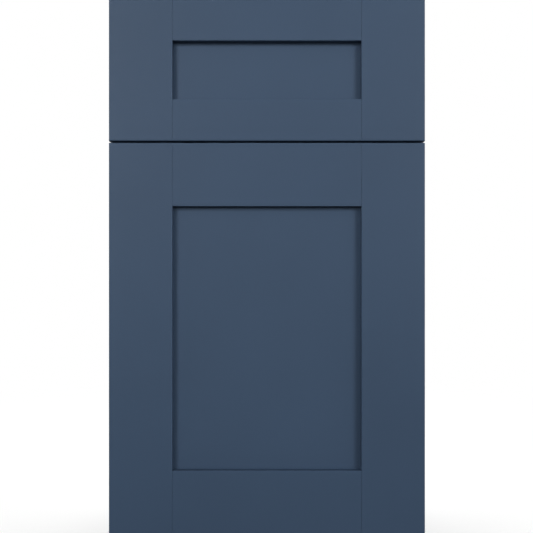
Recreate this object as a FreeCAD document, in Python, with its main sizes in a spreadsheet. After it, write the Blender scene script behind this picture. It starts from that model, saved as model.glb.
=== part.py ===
import FreeCAD, Part
import math
import os
import Sketcher
from FreeCAD import Placement, Rotation, Vector

# Bathroom vanity cabinet: one drawer over one door, frameless box on a recessed toe kick.
# +Z is up and the fronts face -Y. The origin is on the floor, under the middle of the cabinet.

DRIVING_SIZES = {
    # overall
    "overall_height": 762, "overall_depth": 533, "carcass_width": 376, "front_width": 378,
    # boards
    "board": 18, "front_board": 19, "panel_board": 6, "drawer_board": 12, "back_board": 6,
    "back_rebate": 9, "bumper_gap": 2, "toe_height": 114, "toe_recess": 76,
    "stretcher_depth": 100, "mid_rail_depth": 60, "hanging_rail_height": 100,
    # fronts
    "top_reveal": 5, "front_gap": 2, "drawer_front_height": 170, "bottom_reveal": 3,
    "stile": 76, "door_rail": 76, "drawer_rail": 50, "panel_setback": 9.5,
    "groove_depth": 9, "panel_play": 1, "outer_edge_radius": 1.4, "inner_edge_radius": 0.6,
    # shelf
    "shelf_height": 345, "shelf_inset": 20, "shelf_play": 1, "shelf_hole_pitch": 32,
    "shelf_hole_diameter": 5, "shelf_hole_depth": 10.5, "shelf_hole_inset": 37,
    "shelf_pin_radius": 2.45, "shelf_pin_head_radius": 3.5, "shelf_pin_head_length": 8,
    # joints of the box
    "dowel_radius": 3.95, "dowel_hole_diameter": 8, "dowel_in_side": 12, "dowel_in_board": 18,
    "dowel_play": 0.5, "fixing_hole_diameter": 5, "wall_hole_offset": 120,
    "worktop_hole_offset": 130, "dowel_edge_distance": 20,
    # drawer box and slides
    "drawer_box_height": 110, "drawer_box_length": 450, "drawer_box_lift": 12,
    "drawer_bottom_lift": 10, "drawer_groove": 6, "slide_thickness": 12.7, "slide_length": 440,
    "slide_steel": 1.2, "slide_setback": 2, "slide_inner_half": 14, "outer_lip": 10.4,
    "middle_web": 4.6, "middle_lip": 11, "inner_lip": 7.2, "ball_radius": 1.5, "ball_play": 0.1,
    "outer_ball_in": 8.2, "inner_ball_in": 9.2, "ball_pitch": 22, "cage_start": 120,
    "cage_end": 4, "cage_width": 3.6, "cage_steel": 0.6, "cage_play": 0.05,
    "slide_screw_inset": 37, "slide_screw_pitch": 192, "inner_slide_screw_inset": 35,
    "front_screw_inset": 59, "front_screw_low": 30, "front_screw_high": 85,
    # door hinges: plate and arm, measured back from the front edge of the side panel
    "plate_start": 24, "arm_end": 66, "plate_half": 7.7, "wing_start": 31, "wing_end": 43,
    "wing_half": 23, "wing_drop": 0.7, "arm_screw_back": 50, "arm_over_pin": 3,
    "arm_nose": 2.6, "arm_nose_width": 6.5, "arm_chin": 9, "arm_belly": 15, "arm_fork": 13,
    # door hinges: cup, link and pins
    "hinge_inset": 80, "cup_radius": 17.4, "cup_bore_diameter": 35, "cup_depth": 12.5,
    "cup_steel": 0.8, "cup_edge_distance": 3, "cup_notch": 1.2, "pin_radius": 1.5, "pin_hole_radius": 1.55,
    "link_half_width": 6, "link_steel": 1.6, "arm_steel": 1.5, "arm_play": 0.2,
    "arm_pin_in": 28, "arm_pin_back": 6, "cup_pin_in": 8.6, "cup_pin_deep": 7.8,
    "hinge_plate": 2.5, "hinge_screw_back": 37, "hinge_screw_spread": 16,
    "cup_play": 0.1, "flange_overlap": 1, "cup_screw_offset": 9.5, "cup_screw_spread": 22.5,
    "ear_half_width": 6, "ear_half_height": 27, "lug_half": 2.6, "lug_root": 4.2,
    "lug_tip": 2.8, "lug_steel": 2.2, "link_rise": 2.5, "first_bend": 4.9, "second_bend": 12.9,
    "cup_eye_radius": 2.6, "arm_eye_radius": 3,
    # screws and pads
    "screw_radius": 1.5, "pilot_diameter": 3.1, "screw_head_radius": 3.4, "screw_head": 1.6,
    "screw_reach": 12, "screw_play": 0.5, "steel_hole_extra": 0.3, "flat_head": 0.6,
    "pad_radius": 4, "pad_thickness": 1.7, "pad_side_inset": 8, "pad_end_inset": 12,
}

doc = FreeCAD.newDocument("VanityCabinet")
sheet = doc.addObject("Spreadsheet::Sheet", "Sizes")
for row, (alias, size) in enumerate(DRIVING_SIZES.items(), start=1):
    sheet.set(f"A{row}", alias)
    sheet.set(f"B{row}", str(size))
    sheet.setAlias(f"B{row}", alias)
doc.recompute()

# Planes that several pieces share, each as an expression on the sheet.
HALF = "(Sizes.carcass_width/2)"
INSIDE = "(Sizes.carcass_width/2 - Sizes.board)"
FRONT = "(-Sizes.overall_depth/2)"
FRONT_BACK = "(-Sizes.overall_depth/2 + Sizes.front_board)"
BOX_FRONT = "(-Sizes.overall_depth/2 + Sizes.front_board + Sizes.bumper_gap)"
BOX_BACK = "(Sizes.overall_depth/2)"
BACK_INSIDE = "(Sizes.overall_depth/2 - Sizes.back_board)"
TOP = "Sizes.overall_height"
UNDER_TOP = "(Sizes.overall_height - Sizes.board)"
FLOOR_TOP = "(Sizes.toe_height + Sizes.board)"
DRAWER_TOP = "(Sizes.overall_height - Sizes.top_reveal)"
DRAWER_LOW = f"({DRAWER_TOP} - Sizes.drawer_front_height)"
DOOR_TOP = f"({DRAWER_LOW} - Sizes.front_gap)"
DOOR_LOW = "(Sizes.toe_height + Sizes.bottom_reveal)"
MID_RAIL_LOW = f"({DRAWER_LOW} - Sizes.front_gap/2 - Sizes.board/2)"
MID_RAIL_TOP = f"({MID_RAIL_LOW} + Sizes.board)"
BOX_LOW = f"({MID_RAIL_TOP} + Sizes.drawer_box_lift)"
BOX_TOP = f"({BOX_LOW} + Sizes.drawer_box_height)"
SLIDE_Z = f"({BOX_LOW} + Sizes.drawer_box_height/2)"
BOX_SIDE = f"({INSIDE} - Sizes.slide_thickness)"
BOX_END = f"({FRONT_BACK} + Sizes.drawer_box_length)"
DOWEL_HOLE_IN_SIDE = "Sizes.dowel_in_side + Sizes.dowel_play"
DOWEL_HOLE_IN_BOARD = "Sizes.dowel_in_board + Sizes.dowel_play"

SIDES = {"left": -1, "right": 1}
PIECES = {}


def value(expression):
    """Number that an expression on the sheet comes to."""
    return float(sheet.evalExpression(expression))


def keep(piece, label):
    """Give a finished sub-part its name."""
    piece.Label = label
    PIECES[label] = piece
    return piece


# --- sketches and features ---------------------------------------------------------------------

def plane(body, role):
    """One of the body's own origin planes."""
    return next(item for item in body.Origin.OriginFeatures if item.Role == role)


def attach(body, name, role, offset):
    """Empty sketch on an origin plane, moved along the plane's normal."""
    sketch = body.newObject("Sketcher::SketchObject", name)
    sketch.AttachmentSupport = [(plane(body, role), "")]
    sketch.MapMode = "FlatFace"
    sketch.setExpression("AttachmentOffset.Base.z", offset)
    return sketch


def pin_point(sketch, element, vertex, across, up):
    """Fix one point of a sketch at a pair of expressions from the origin."""
    for kind, expression, axis in (("DistanceX", across, -2), ("DistanceY", up, -1)):
        number = value(expression)
        if abs(number) < 1e-9:
            sketch.addConstraint(Sketcher.Constraint("PointOnObject", element, vertex, axis))
            continue
        index = sketch.addConstraint(Sketcher.Constraint(kind, -1, 1, element, vertex, number))
        sketch.setExpression(f"Constraints[{index}]", expression)


def outline(body, name, role, offset, points):
    """Closed polygon through points, each a pair of expressions."""
    sketch = attach(body, name, role, offset)
    corners = [Vector(value(across), value(up), 0) for across, up in points]
    count = len(corners)
    for index in range(count):
        sketch.addGeometry(Part.LineSegment(corners[index], corners[(index + 1) % count]))
    for index in range(count):
        joint = Sketcher.Constraint("Coincident", index, 2, (index + 1) % count, 1)
        sketch.addConstraint(joint)
    for index, (across, up) in enumerate(points):
        pin_point(sketch, index, 1, across, up)
    return sketch


def circles(body, name, role, offset, centres, diameter):
    """Circles of one diameter round centres, each a pair of expressions."""
    sketch = attach(body, name, role, offset)
    for index, (across, up) in enumerate(centres):
        centre = Vector(value(across), value(up), 0)
        sketch.addGeometry(Part.Circle(centre, Vector(0, 0, 1), value(diameter) / 2))
        pin_point(sketch, index, 3, across, up)
        size = sketch.addConstraint(Sketcher.Constraint("Diameter", index, value(diameter)))
        sketch.setExpression(f"Constraints[{size}]", diameter)
    return sketch


def rectangle(across, up):
    """Corners of a rectangle from two (low, high) pairs of expressions."""
    return [(across[0], up[0]), (across[1], up[0]), (across[1], up[1]), (across[0], up[1])]


def pad(body, sketch, length, name="Pad"):
    """Add material along the sketch's normal."""
    feature = body.newObject("PartDesign::Pad", name)
    feature.Profile = sketch
    feature.setExpression("Length", length)
    doc.recompute()
    return feature


def pocket(body, sketch, depth, forwards, name="Pocket"):
    """Cut along the sketch's normal (forwards) or against it, and check that it cuts."""
    before = body.Shape.Volume
    feature = body.newObject("PartDesign::Pocket", name)
    feature.Profile = sketch
    feature.Reversed = forwards
    feature.setExpression("Length", depth)
    doc.recompute()
    if body.Shape.Volume > before - 1:
        raise RuntimeError(f"{body.Label}: {name} cuts nothing")
    return feature


def new_body(label):
    """Empty body with its final name."""
    return keep(doc.addObject("PartDesign::Body", label), label)


def prism(label, role, points, start, length):
    """Body of one outline padded along its plane's normal."""
    body = new_body(label)
    pad(body, outline(body, "Outline", role, start, points), length)
    return body


def board(label, x, y, z):
    """Square-edged board from three (low, high) pairs of expressions."""
    return prism(label, "XY_Plane", rectangle(x, y), z[0], f"({z[1]}) - ({z[0]})")


def drill(body, name, role, offset, centres, diameter, depth, forwards):
    """Round holes of one diameter and depth."""
    sketch = circles(body, name + "Circles", role, offset, centres, diameter)
    pocket(body, sketch, depth, forwards, name)


def ease(body, radius, chosen, name):
    """Round the edges that chosen(edge) picks."""
    base = body.Tip
    names = [f"Edge{i}" for i, edge in enumerate(body.Shape.Edges, start=1) if chosen(edge)]
    feature = body.newObject("PartDesign::Fillet", name)
    feature.Base = (base, names)
    feature.setExpression("Radius", radius)
    doc.recompute()
    return feature


# --- primitives and groups ----------------------------------------------------------------------

def cylinder(radius, length, centre, direction):
    """Cylinder with one end at centre (three expressions), along a direction."""
    solid = doc.addObject("Part::Cylinder", "Cylinder")
    solid.setExpression("Radius", radius)
    solid.setExpression("Height", length)
    solid.Placement = Placement(Vector(), Rotation(Vector(0, 0, 1), direction))
    place(solid, centre)
    return solid


def place(solid, centre):
    """Bind a primitive's position to three expressions."""
    for axis, expression in zip("xyz", centre):
        solid.setExpression(f"Placement.Base.{axis}", expression)


def fuse(solids):
    """One solid from several that touch."""
    joined = doc.addObject("Part::MultiFuse", "Joined")
    joined.Shapes = solids
    joined.Refine = True
    return joined


def group(label, solids):
    """Like pieces kept as separate solids under one name."""
    together = doc.addObject("Part::Compound", label)
    together.Links = solids
    return keep(together, label)


def screw(head_at, direction):
    """Pan-head screw: shank along direction from the seat, head on the other side of it."""
    shank = cylinder("Sizes.screw_radius", "Sizes.screw_reach", head_at, direction)
    head = cylinder("Sizes.screw_head_radius", "Sizes.screw_head", head_at, direction * -1)
    return fuse([shank, head])


# --- carcass ------------------------------------------------------------------------------------

# Each board that is dowelled between the sides, with the (y, z) places of its dowels.
BOARD_MIDDLE = "Sizes.board/2"
BOTTOM_Z = f"(Sizes.toe_height + {BOARD_MIDDLE})"
TOP_Z = f"({TOP} - {BOARD_MIDDLE})"
RAIL_Y = f"({BACK_INSIDE} - {BOARD_MIDDLE})"
TOE_Y = f"({BOX_FRONT} + Sizes.toe_recess)"
STRETCHER_BACK = f"({BOX_FRONT} + Sizes.stretcher_depth)"
UPPER_RAIL = (f"({UNDER_TOP} - Sizes.hanging_rail_height)", UNDER_TOP)
LOWER_RAIL = (FLOOR_TOP, f"({FLOOR_TOP} + Sizes.hanging_rail_height)")
UPPER_RAIL_MIDDLE = f"({UNDER_TOP} - Sizes.hanging_rail_height/2)"
LOWER_RAIL_MIDDLE = f"({FLOOR_TOP} + Sizes.hanging_rail_height/2)"
EDGE_DISTANCE = "Sizes.dowel_edge_distance"

DOWELLED_BOARDS = {
    "bottom_panel": {
        "y": (BOX_FRONT, BACK_INSIDE), "z": ("Sizes.toe_height", FLOOR_TOP),
        "dowels": [(f"{BOX_FRONT} + 2*{EDGE_DISTANCE}", BOTTOM_Z), ("0", BOTTOM_Z),
                   (f"{BACK_INSIDE} - 2*{EDGE_DISTANCE}", BOTTOM_Z)]},
    "top_front_stretcher": {
        "y": (BOX_FRONT, STRETCHER_BACK), "z": (UNDER_TOP, TOP),
        "dowels": [(f"{BOX_FRONT} + {EDGE_DISTANCE}", TOP_Z),
                   (f"{STRETCHER_BACK} - {EDGE_DISTANCE}", TOP_Z)]},
    "top_rear_stretcher": {
        "y": (f"({BACK_INSIDE} - Sizes.stretcher_depth)", BACK_INSIDE), "z": (UNDER_TOP, TOP),
        "dowels": [(f"{BACK_INSIDE} - Sizes.stretcher_depth + {EDGE_DISTANCE}", TOP_Z),
                   (f"{BACK_INSIDE} - {EDGE_DISTANCE}", TOP_Z)]},
    "mid_rail": {
        "y": (BOX_FRONT, f"({BOX_FRONT} + Sizes.mid_rail_depth)"), "z": (MID_RAIL_LOW, MID_RAIL_TOP),
        "dowels": [(f"{BOX_FRONT} + {EDGE_DISTANCE}", f"{MID_RAIL_LOW} + {BOARD_MIDDLE}"),
                   (f"{BOX_FRONT} + Sizes.mid_rail_depth - {EDGE_DISTANCE}",
                    f"{MID_RAIL_LOW} + {BOARD_MIDDLE}")]},
    "toe_kick_board": {
        "y": (TOE_Y, f"({TOE_Y} + Sizes.board)"), "z": ("0", "Sizes.toe_height"),
        "dowels": [(f"{TOE_Y} + {BOARD_MIDDLE}", EDGE_DISTANCE),
                   (f"{TOE_Y} + {BOARD_MIDDLE}", f"Sizes.toe_height - {EDGE_DISTANCE}")]},
    "upper_hanging_rail": {
        "y": (f"({BACK_INSIDE} - Sizes.board)", BACK_INSIDE), "z": UPPER_RAIL,
        "dowels": [(RAIL_Y, f"{UPPER_RAIL[0]} + {EDGE_DISTANCE}"),
                   (RAIL_Y, f"{UPPER_RAIL[1]} - {EDGE_DISTANCE}")]},
    "lower_hanging_rail": {
        "y": (f"({BACK_INSIDE} - Sizes.board)", BACK_INSIDE), "z": LOWER_RAIL,
        "dowels": [(RAIL_Y, f"{LOWER_RAIL[0]} + {EDGE_DISTANCE}"),
                   (RAIL_Y, f"{LOWER_RAIL[1]} - {EDGE_DISTANCE}")]},
}
DOWEL_PLACES = [spot for entry in DOWELLED_BOARDS.values() for spot in entry["dowels"]]

SHELF_LOW = "Sizes.shelf_height"
PIN_Z = f"({SHELF_LOW} - Sizes.shelf_pin_head_radius)"
PIN_ROWS = [f"({BOX_FRONT} + Sizes.shelf_hole_inset)", f"({BACK_INSIDE} - 2*Sizes.shelf_hole_inset)"]
PIN_STEPS = range(-2, 3)
HINGE_HEIGHTS = {"upper": f"({DOOR_TOP} - Sizes.hinge_inset)",
                 "lower": f"({DOOR_LOW} + Sizes.hinge_inset)"}
HINGE_SCREW_PLACES = [
    (f"{BOX_FRONT} + Sizes.hinge_screw_back", f"{height} + {sign}*Sizes.hinge_screw_spread")
    for height in HINGE_HEIGHTS.values() for sign in (-1, 1)]
SLIDE_SCREW_ROWS = [f"({BOX_FRONT} + Sizes.slide_screw_inset + {step}*Sizes.slide_screw_pitch)"
                    for step in range(3)]
STEEL_HOLE = "Sizes.pilot_diameter + Sizes.steel_hole_extra"


def side_panel(label, side):
    """Side with the toe notch, back rebate, and its dowel, shelf-pin and hardware holes."""
    profile = [
        (TOE_Y, "0"), (BOX_BACK, "0"), (BOX_BACK, TOP), (BOX_FRONT, TOP),
        (BOX_FRONT, "Sizes.toe_height"), (TOE_Y, "Sizes.toe_height")]
    start = f"-{HALF}" if side < 0 else INSIDE
    face = f"{side}*{INSIDE}"
    outwards = side > 0
    body = prism(label, "YZ_Plane", profile, start, "Sizes.board")
    rebate = rectangle((BACK_INSIDE, BOX_BACK), ("Sizes.toe_height", TOP))
    sketch = outline(body, "RebateOutline", "YZ_Plane", face, rebate)
    pocket(body, sketch, "Sizes.back_rebate", outwards, "BackRebate")
    drill(body, "DowelHoles", "YZ_Plane", face, DOWEL_PLACES,
          "Sizes.dowel_hole_diameter", DOWEL_HOLE_IN_SIDE, outwards)
    shelf_holes = [(row_y, f"{PIN_Z} + {step}*Sizes.shelf_hole_pitch")
                   for row_y in PIN_ROWS for step in PIN_STEPS]
    drill(body, "ShelfHoles", "YZ_Plane", face, shelf_holes,
          "Sizes.shelf_hole_diameter", "Sizes.shelf_hole_depth", outwards)
    pilots = [(row_y, SLIDE_Z) for row_y in SLIDE_SCREW_ROWS]
    if side < 0:
        pilots += HINGE_SCREW_PLACES
    drill(body, "PilotHoles", "YZ_Plane", face, pilots,
          "Sizes.pilot_diameter", "Sizes.screw_reach", outwards)


def carcass_board(label, y, z, dowels):
    """Board between the sides with dowel holes in both ends."""
    body = board(label, (f"-{INSIDE}", INSIDE), y, z)
    for name, side in SIDES.items():
        drill(body, f"DowelHoles{name.title()}", "YZ_Plane", f"{side}*{INSIDE}", dowels,
              "Sizes.dowel_hole_diameter", DOWEL_HOLE_IN_BOARD, side < 0)
    return body


for side_name, side_sign in SIDES.items():
    side_panel(f"{side_name}_side_panel", side_sign)
for board_label, entry in DOWELLED_BOARDS.items():
    carcass_board(board_label, entry["y"], entry["z"], entry["dowels"])

BACK_EDGE = f"({INSIDE} + Sizes.back_rebate)"
back = board("back_panel", (f"-{BACK_EDGE}", BACK_EDGE), (BACK_INSIDE, BOX_BACK),
             ("Sizes.toe_height", TOP))

# Holes for the wall screws, through the hanging rails and the back, and for the worktop screws.
for rail_label, height in (("upper_hanging_rail", UPPER_RAIL_MIDDLE),
                           ("lower_hanging_rail", LOWER_RAIL_MIDDLE)):
    spots = [(f"{side}*Sizes.wall_hole_offset", height) for side in SIDES.values()]
    drill(PIECES[rail_label], "WallHoles", "XZ_Plane", f"-({BACK_INSIDE})", spots,
          "Sizes.fixing_hole_diameter", "Sizes.board", True)
    drill(back, f"WallHoles_{rail_label}", "XZ_Plane", f"-({BOX_BACK})", spots,
          "Sizes.fixing_hole_diameter", "Sizes.back_board", True)
for stretcher, middle in (("top_front_stretcher", f"{BOX_FRONT} + Sizes.stretcher_depth/2"),
                          ("top_rear_stretcher", f"{BACK_INSIDE} - Sizes.stretcher_depth/2")):
    spots = [(f"{side}*Sizes.worktop_hole_offset", middle) for side in SIDES.values()]
    drill(PIECES[stretcher], "WorktopHoles", "XY_Plane", TOP, spots,
          "Sizes.fixing_hole_diameter", "Sizes.board", False)

group("carcass_dowels", [
    cylinder("Sizes.dowel_radius", "Sizes.dowel_in_side + Sizes.dowel_in_board",
             (f"{side}*({INSIDE} + Sizes.dowel_in_side)", spot_y, spot_z), Vector(-side, 0, 0))
    for side in SIDES.values() for spot_y, spot_z in DOWEL_PLACES])

SHELF_EDGE = f"({INSIDE} - Sizes.shelf_play)"
board("adjustable_shelf", (f"-{SHELF_EDGE}", SHELF_EDGE),
      (f"({BOX_FRONT} + Sizes.shelf_inset)", f"({BACK_INSIDE} - Sizes.shelf_play)"),
      (SHELF_LOW, f"({SHELF_LOW} + Sizes.board)"))
group("shelf_pins", [
    fuse([cylinder("Sizes.shelf_pin_radius", "Sizes.shelf_hole_depth - Sizes.dowel_play",
                   (f"{side}*{INSIDE}", row_y, PIN_Z), Vector(side, 0, 0)),
          cylinder("Sizes.shelf_pin_head_radius", "Sizes.shelf_pin_head_length",
                   (f"{side}*{INSIDE}", row_y, PIN_Z), Vector(-side, 0, 0))])
    for side in SIDES.values() for row_y in PIN_ROWS])

# --- fronts: two stiles, two rails and a floating panel -------------------------------------------

PANEL_FRONT = f"({FRONT} + Sizes.panel_setback)"
PANEL_BACK = f"({PANEL_FRONT} + Sizes.panel_board)"
FRONT_EDGE = "(Sizes.front_width/2)"
STILE_EDGE = "(Sizes.front_width/2 - Sizes.stile)"


def on_front(edge):
    """True for a straight edge in the plane of the front faces."""
    return all(abs(vertex.Point.y - value(FRONT)) < 1e-6 for vertex in edge.Vertexes)


def in_plane(edge, axis, number):
    """True where both ends of the edge lie at one x or z."""
    return all(abs(getattr(vertex.Point, axis) - number) < 1e-6 for vertex in edge.Vertexes)


def stile(label, side, low, high):
    """Upright of a front: groove for the panel down its inner edge, front corners eased."""
    groove_x = f"{side}*({STILE_EDGE} + Sizes.groove_depth)"
    inner_x = f"{side}*{STILE_EDGE}"
    outer_x = f"{side}*{FRONT_EDGE}"
    profile = [
        (outer_x, FRONT), (inner_x, FRONT), (inner_x, PANEL_FRONT), (groove_x, PANEL_FRONT),
        (groove_x, PANEL_BACK), (inner_x, PANEL_BACK), (inner_x, FRONT_BACK), (outer_x, FRONT_BACK)]
    body = prism(label, "XY_Plane", profile, low, f"({high}) - ({low})")
    outer, inner = value(outer_x), value(inner_x)
    ends = (value(low), value(high))
    ease(body, "Sizes.outer_edge_radius",
         lambda edge: on_front(edge) and (in_plane(edge, "x", outer)
                                          or any(in_plane(edge, "z", end) for end in ends)),
         "OuterEdges")
    ease(body, "Sizes.inner_edge_radius",
         lambda edge: on_front(edge) and in_plane(edge, "x", inner), "InnerEdge")
    return body


def rail(label, outer, inner):
    """Cross member of a front: panel groove along its inner edge, a tongue at each end."""
    step = 1 if value(inner) > value(outer) else -1
    groove_z = f"({inner}) - {step}*Sizes.groove_depth"
    profile = [
        (FRONT, outer), (FRONT, inner), (PANEL_FRONT, inner), (PANEL_FRONT, groove_z),
        (PANEL_BACK, groove_z), (PANEL_BACK, inner), (FRONT_BACK, inner), (FRONT_BACK, outer)]
    body = prism(label, "YZ_Plane", profile, f"-{STILE_EDGE}", f"2*{STILE_EDGE}")
    outer_z, inner_z, shoulder = value(outer), value(inner), value(STILE_EDGE)
    ease(body, "Sizes.outer_edge_radius",
         lambda edge: on_front(edge) and in_plane(edge, "z", outer_z), "OuterEdge")
    ease(body, "Sizes.inner_edge_radius",
         lambda edge: on_front(edge) and in_plane(edge, "z", inner_z), "InnerEdge")
    ease(body, "Sizes.inner_edge_radius/2",
         lambda edge: on_front(edge) and (in_plane(edge, "x", shoulder)
                                          or in_plane(edge, "x", -shoulder)), "Shoulders")
    tongue = rectangle((PANEL_FRONT, PANEL_BACK), (outer, groove_z))
    reach = f"({STILE_EDGE} + Sizes.groove_depth - Sizes.panel_play)"
    pad(body, outline(body, "TongueOutline", "YZ_Plane", f"-{reach}", tongue), f"2*{reach}", "Tongue")
    return body


def framed_front(prefix, low, high, rail_width):
    """Cope-and-stick front: stiles run its full height, rails fit between them."""
    for name, side in SIDES.items():
        stile(f"{prefix}_{name}_stile", side, low, high)
    rail(f"{prefix}_top_rail", high, f"({high} - {rail_width})")
    rail(f"{prefix}_bottom_rail", low, f"({low} + {rail_width})")
    reach = "(Sizes.groove_depth - Sizes.panel_play)"
    edge = f"({STILE_EDGE} + {reach})"
    board(f"{prefix}_panel", (f"-{edge}", edge), (PANEL_FRONT, PANEL_BACK),
          (f"({low} + {rail_width} - {reach})", f"({high} - {rail_width} + {reach})"))


framed_front("door", DOOR_LOW, DOOR_TOP, "Sizes.door_rail")
framed_front("drawer_front", DRAWER_LOW, DRAWER_TOP, "Sizes.drawer_rail")

PAD_X = f"({FRONT_EDGE} - Sizes.pad_side_inset)"


def bumper_pads(label, spots):
    """Soft pads on the back of a front, where it meets the edge of the box."""
    group(label, [cylinder("Sizes.pad_radius", "Sizes.pad_thickness", (spot_x, FRONT_BACK, spot_z),
                           Vector(0, 1, 0)) for spot_x, spot_z in spots])


bumper_pads("door_bumpers", [(PAD_X, f"{DOOR_TOP} - Sizes.pad_end_inset"),
                             (PAD_X, f"{DOOR_LOW} + Sizes.pad_end_inset")])
bumper_pads("drawer_bumpers", [(f"{side}*{PAD_X}", f"{DRAWER_TOP} - Sizes.pad_end_inset")
                               for side in SIDES.values()])

# --- door hinges ----------------------------------------------------------------------------------

# Across and back are measured from the front outer corner of the left side panel.
CUP_IN = "(Sizes.cup_edge_distance + Sizes.cup_bore_diameter/2)"
CUP_X = f"(-{FRONT_EDGE} + {CUP_IN})"
ARM_PIN = (f"(-{HALF} + Sizes.arm_pin_in)", f"({BOX_FRONT} + Sizes.arm_pin_back)")
CUP_PIN = (f"(-{FRONT_EDGE} + Sizes.cup_pin_in)", f"({FRONT_BACK} - Sizes.cup_pin_deep)")
CUP_SCREW_X = f"({CUP_X} + Sizes.cup_screw_offset)"
WALL_X = f"(-{INSIDE})"
PLATE_X = f"({WALL_X} + Sizes.hinge_plate)"
ARM_TOP_X = f"({ARM_PIN[0]} + Sizes.arm_over_pin)"
ARM_SCREW_Y = f"({BOX_FRONT} + Sizes.arm_screw_back)"
ARM_HALF = "(Sizes.link_half_width + Sizes.arm_play + Sizes.arm_steel)"
LINK_ROOM = "(Sizes.link_half_width + Sizes.arm_play)"
LUG_END = "(Sizes.link_half_width + Sizes.arm_play + Sizes.lug_steel)"


def mounting_plate(label, height):
    """Steel plate on the side panel: a raised bed for the arm and two wings for the screws."""
    bed = rectangle((f"{BOX_FRONT} + Sizes.plate_start", f"{BOX_FRONT} + Sizes.arm_end"),
                    (f"{height} - Sizes.plate_half", f"{height} + Sizes.plate_half"))
    body = prism(label, "YZ_Plane", bed, WALL_X, "Sizes.hinge_plate")
    wing = rectangle((f"{BOX_FRONT} + Sizes.wing_start", f"{BOX_FRONT} + Sizes.wing_end"),
                     (f"{height} - Sizes.wing_half", f"{height} + Sizes.wing_half"))
    pad(body, outline(body, "WingOutline", "YZ_Plane", WALL_X, wing),
        "Sizes.hinge_plate - Sizes.wing_drop", "Wings")
    spots = [(f"{BOX_FRONT} + Sizes.hinge_screw_back", f"{height} + {sign}*Sizes.hinge_screw_spread")
             for sign in (-1, 1)]
    drill(body, "ScrewHoles", "YZ_Plane", WALL_X, spots, STEEL_HOLE,
          "Sizes.hinge_plate", True)
    drill(body, "ArmScrewHole", "YZ_Plane", WALL_X, [(ARM_SCREW_Y, height)],
          "Sizes.pilot_diameter", "Sizes.hinge_plate", True)


def hinge_arm(label, height):
    """Channel-shaped arm, open to the panel, with two ears for the link's pin."""
    nose_x = f"{ARM_TOP_X} - Sizes.arm_nose_width"
    end_y = f"{BOX_FRONT} + Sizes.arm_end"
    fork_y = f"{BOX_FRONT} + Sizes.arm_fork"
    web_x = f"{ARM_TOP_X} - Sizes.arm_steel"
    profile = [
        (nose_x, f"{BOX_FRONT} + Sizes.arm_nose"), (ARM_TOP_X, f"{BOX_FRONT} + Sizes.arm_nose"),
        (ARM_TOP_X, end_y), (PLATE_X, end_y),
        (PLATE_X, f"{BOX_FRONT} + Sizes.arm_belly"), (nose_x, f"{BOX_FRONT} + Sizes.arm_chin")]
    body = prism(label, "XY_Plane", profile, f"{height} - {ARM_HALF}", f"2*{ARM_HALF}")
    inside = [
        (f"{PLATE_X} - 1", BOX_FRONT), (f"{ARM_TOP_X} + 1", BOX_FRONT), (f"{ARM_TOP_X} + 1", fork_y),
        (web_x, fork_y), (web_x, f"{end_y} + 1"), (f"{PLATE_X} - 1", f"{end_y} + 1")]
    sketch = outline(body, "HollowOutline", "XY_Plane", f"{height} - {LINK_ROOM}", inside)
    pocket(body, sketch, f"2*{LINK_ROOM}", True, "Hollow")
    drill(body, "PinHole", "XY_Plane", f"{height} - {ARM_HALF}", [ARM_PIN],
          "2*Sizes.pin_hole_radius", f"2*{ARM_HALF}", True)
    drill(body, "ScrewHole", "YZ_Plane", web_x, [(ARM_SCREW_Y, height)], STEEL_HOLE,
          "Sizes.arm_steel", True)


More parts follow.
